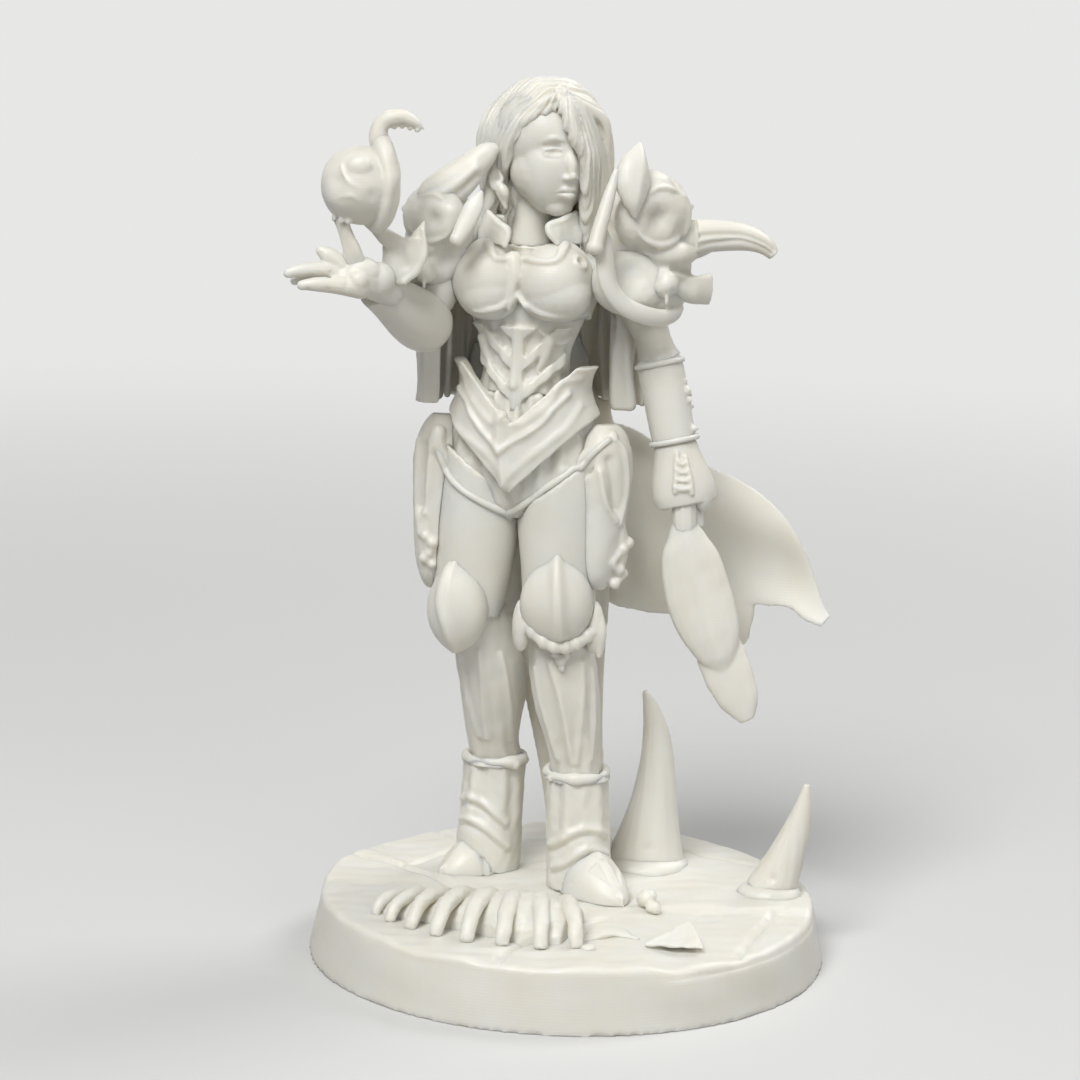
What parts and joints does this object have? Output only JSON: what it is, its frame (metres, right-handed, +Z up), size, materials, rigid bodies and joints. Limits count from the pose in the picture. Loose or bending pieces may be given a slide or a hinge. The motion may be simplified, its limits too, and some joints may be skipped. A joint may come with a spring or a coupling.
{
  "type": "tabletop miniature figure",
  "caption": "Resin-printed tabletop miniature: an armoured spell-caster in a wind-blown cape, raising a flaming orb, on a round base with bones and horns.",
  "frame": {"origin": "middle of the round base's flat underside", "axes": "+Z up through the figure, -Y the way the figure's body faces, +X the figure's left"},
  "size_m": [0.0268, 0.025, 0.0422],
  "materials": {
    "resin": "satin, slightly translucent cured photopolymer resin"
  },
  "bodies": {
    "root": {"base_plinth": "resin", "belt_plate": "resin", "breastplate": "resin", "cape": "resin", "collar": "resin", "corset_ribs": "resin", "flame_orb": "resin", "flames": "resin", "hair": "resin", "hair_locks": "resin", "head": "resin", "held_leaf": "resin", "left_arm_bands": "resin", "left_boot": "resin", "left_boot_cuff": "resin", "left_cuff": "resin", "left_greave": "resin", "left_hand": "resin", "left_hip_plate": "resin", "left_knee_cop": "resin", "left_knee_wings": "resin", "left_pauldron": "resin", "left_pauldron_flange": "resin", "left_pauldron_horn": "resin", "left_pauldron_lame": "resin", "left_pauldron_spike": "resin", "left_thigh_plate": "resin", "left_thigh_trim": "resin", "left_toe_cap": "resin", "left_upper_arm": "resin", "left_vambrace": "resin", "loose_bones": "resin", "mantle": "resin", "rib_cage": "resin", "right_boot": "resin", "right_boot_cuff": "resin", "right_greave": "resin", "right_hand": "resin", "right_hip_plate": "resin", "right_knee_cop": "resin", "right_pauldron": "resin", "right_pauldron_blade": "resin", "right_pauldron_flange": "resin", "right_thigh_plate": "resin", "right_thigh_trim": "resin", "right_toe_cap": "resin", "right_upper_arm": "resin", "right_vambrace": "resin", "short_horn": "resin", "shorts": "resin", "tall_horn": "resin", "torso": "resin", "vertebrae": "resin"}
  },
  "joints": []
}
